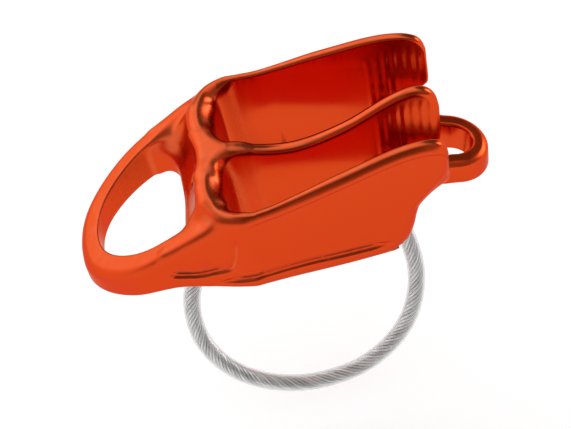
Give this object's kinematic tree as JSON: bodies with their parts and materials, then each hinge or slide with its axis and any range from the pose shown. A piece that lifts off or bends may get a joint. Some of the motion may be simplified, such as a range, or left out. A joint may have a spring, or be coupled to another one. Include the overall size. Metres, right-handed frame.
{
  "type": "guide mode belay device",
  "caption": "Forged two-slot belay device with a leaning attachment eye, a small release eye and a sleeved wire keeper loop.",
  "frame": {"origin": "middle of the attachment eye", "axes": "+X along the rope slots towards the release eye, +Y across the slots, +Z along the slots towards the side where the ropes go in"},
  "size_m": [0.0892, 0.0411, 0.0787],
  "materials": {
    "orange_anodised": "satin anodised",
    "ferrule_steel": "swaged",
    "wire_rope": "drawn wire",
    "clear_sleeve": "clear"
  },
  "bodies": {
    "device": {"forged_body": "orange_anodised", "anchor_ferrule": "ferrule_steel", "tail_ferrule": "ferrule_steel"},
    "keeper": {"keeper_wire_rope": "wire_rope", "keeper_sleeve": "clear_sleeve"}
  },
  "joints": [
    {"name": "keeper_swing", "type": "hinge", "parent": "device", "child": "keeper", "pos_m": [0.0325, 0, -0.0068], "axis": [1, 0, 0], "range_deg": [-16, 64], "stiffness_Nm_per_rad": 0.15}
  ]
}
